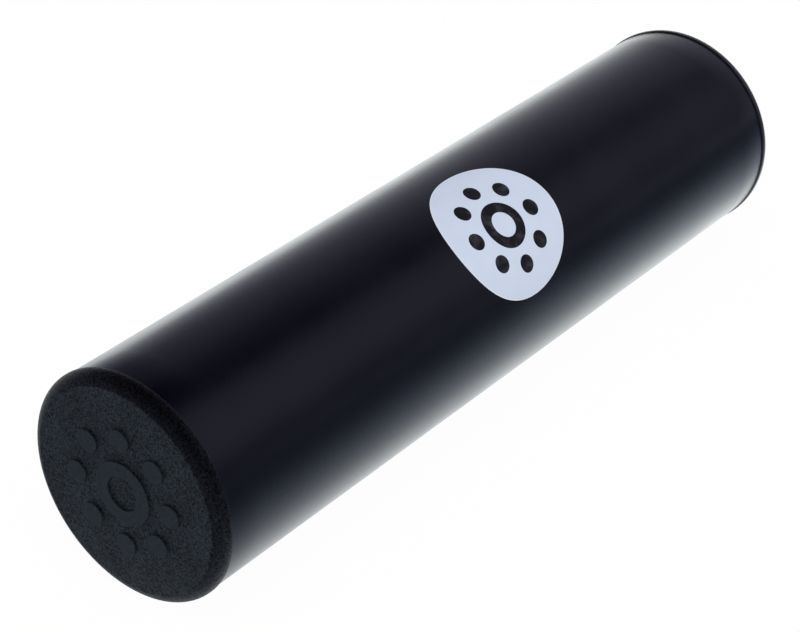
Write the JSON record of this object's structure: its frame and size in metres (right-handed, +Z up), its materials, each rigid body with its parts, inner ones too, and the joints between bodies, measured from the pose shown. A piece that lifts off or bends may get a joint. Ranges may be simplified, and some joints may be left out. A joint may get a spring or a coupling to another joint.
{
  "type": "ganza shaker",
  "caption": "Cylindrical metal shaker lying on its side: a black tube closed by two pressed-in plastic caps, with loose steel shot inside that slides and rolls.",
  "frame": {"origin": "on the surface that the shaker lies on, under the middle of its length", "axes": "+X along the tube from the front cap to the rear cap, +Z up; the sticker's side is -Y"},
  "size_m": [0.2012, 0.0504, 0.0505],
  "materials": {
    "tube": "satin",
    "cap": "matte",
    "sticker": "satin",
    "shot": "polished"
  },
  "bodies": {
    "shell": {"tube": "tube", "front_cap": "cap", "rear_cap": "cap", "label": "sticker"},
    "shot_keel": {"shot_keel": "shot"},
    "shot_row_01": {"shot_row_01": "shot"},
    "shot_row_02": {"shot_row_02": "shot"},
    "shot_row_03": {"shot_row_03": "shot"},
    "shot_row_04": {"shot_row_04": "shot"},
    "shot_row_05": {"shot_row_05": "shot"},
    "shot_row_06": {"shot_row_06": "shot"},
    "shot_row_07": {"shot_row_07": "shot"},
    "shot_row_08": {"shot_row_08": "shot"},
    "shot_row_09": {"shot_row_09": "shot"},
    "shot_row_10": {"shot_row_10": "shot"},
    "shot_row_11": {"shot_row_11": "shot"},
    "shot_row_12": {"shot_row_12": "shot"},
    "shot_row_13": {"shot_row_13": "shot"},
    "shot_row_14": {"shot_row_14": "shot"},
    "shot_row_15": {"shot_row_15": "shot"},
    "shot_row_16": {"shot_row_16": "shot"},
    "shot_row_17": {"shot_row_17": "shot"},
    "shot_row_18": {"shot_row_18": "shot"},
    "shot_row_19": {"shot_row_19": "shot"},
    "shot_row_20": {"shot_row_20": "shot"},
    "shot_row_21": {"shot_row_21": "shot"},
    "shot_row_22": {"shot_row_22": "shot"},
    "shot_row_23": {"shot_row_23": "shot"},
    "shot_row_24": {"shot_row_24": "shot"}
  },
  "joints": [
    {"name": "shot_roll", "type": "hinge", "parent": "shell", "child": "shot_keel", "pos_m": [0, 0, 0.02525], "axis": [1, 0, 0], "continuous": true},
    {"name": "shot_row_01_slide", "type": "slide", "parent": "shot_keel", "child": "shot_row_01", "axis": [1, 0, 0], "range_m": [-0.0716, 0.0634]},
    {"name": "shot_row_02_slide", "type": "slide", "parent": "shot_keel", "child": "shot_row_02", "axis": [1, 0, 0], "range_m": [-0.0614, 0.0735]},
    {"name": "shot_row_03_slide", "type": "slide", "parent": "shot_keel", "child": "shot_row_03", "axis": [1, 0, 0], "range_m": [-0.0723, 0.0626]},
    {"name": "shot_row_04_slide", "type": "slide", "parent": "shot_keel", "child": "shot_row_04", "axis": [1, 0, 0], "range_m": [-0.0663, 0.0686]},
    {"name": "shot_row_05_slide", "type": "slide", "parent": "shot_keel", "child": "shot_row_05", "axis": [1, 0, 0], "range_m": [-0.0643, 0.0705]},
    {"name": "shot_row_06_slide", "type": "slide", "parent": "shot_keel", "child": "shot_row_06", "axis": [1, 0, 0], "range_m": [-0.0732, 0.0618]},
    {"name": "shot_row_07_slide", "type": "slide", "parent": "shot_keel", "child": "shot_row_07", "axis": [1, 0, 0], "range_m": [-0.0622, 0.0727]},
    {"name": "shot_row_08_slide", "type": "slide", "parent": "shot_keel", "child": "shot_row_08", "axis": [1, 0, 0], "range_m": [-0.0695, 0.0654]},
    {"name": "shot_row_09_slide", "type": "slide", "parent": "shot_keel", "child": "shot_row_09", "axis": [1, 0, 0], "range_m": [-0.0697, 0.0652]},
    {"name": "shot_row_10_slide", "type": "slide", "parent": "shot_keel", "child": "shot_row_10", "axis": [1, 0, 0], "range_m": [-0.0621, 0.0728]},
    {"name": "shot_row_11_slide", "type": "slide", "parent": "shot_keel", "child": "shot_row_11", "axis": [1, 0, 0], "range_m": [-0.086, 0.0746]},
    {"name": "shot_row_12_slide", "type": "slide", "parent": "shot_keel", "child": "shot_row_12", "axis": [1, 0, 0], "range_m": [-0.0773, 0.0833]},
    {"name": "shot_row_13_slide", "type": "slide", "parent": "shot_keel", "child": "shot_row_13", "axis": [1, 0, 0], "range_m": [-0.079, 0.0816]},
    {"name": "shot_row_14_slide", "type": "slide", "parent": "shot_keel", "child": "shot_row_14", "axis": [1, 0, 0], "range_m": [-0.0852, 0.0754]},
    {"name": "shot_row_15_slide", "type": "slide", "parent": "shot_keel", "child": "shot_row_15", "axis": [1, 0, 0], "range_m": [-0.0743, 0.0864]},
    {"name": "shot_row_16_slide", "type": "slide", "parent": "shot_keel", "child": "shot_row_16", "axis": [1, 0, 0], "range_m": [-0.0842, 0.0766]},
    {"name": "shot_row_17_slide", "type": "slide", "parent": "shot_keel", "child": "shot_row_17", "axis": [1, 0, 0], "range_m": [-0.0806, 0.0802]},
    {"name": "shot_row_18_slide", "type": "slide", "parent": "shot_keel", "child": "shot_row_18", "axis": [1, 0, 0], "range_m": [-0.0762, 0.0848]},
    {"name": "shot_row_19_slide", "type": "slide", "parent": "shot_keel", "child": "shot_row_19", "axis": [1, 0, 0], "range_m": [-0.0907, 0.0787]},
    {"name": "shot_row_20_slide", "type": "slide", "parent": "shot_keel", "child": "shot_row_20", "axis": [1, 0, 0], "range_m": [-0.08, 0.0894]},
    {"name": "shot_row_21_slide", "type": "slide", "parent": "shot_keel", "child": "shot_row_21", "axis": [1, 0, 0], "range_m": [-0.0856, 0.0839]},
    {"name": "shot_row_22_slide", "type": "slide", "parent": "shot_keel", "child": "shot_row_22", "axis": [1, 0, 0], "range_m": [-0.0882, 0.0811]},
    {"name": "shot_row_23_slide", "type": "slide", "parent": "shot_keel", "child": "shot_row_23", "axis": [1, 0, 0], "range_m": [-0.0787, 0.0906]},
    {"name": "shot_row_24_slide", "type": "slide", "parent": "shot_keel", "child": "shot_row_24", "axis": [1, 0, 0], "range_m": [-0.0899, 0.0796]}
  ]
}
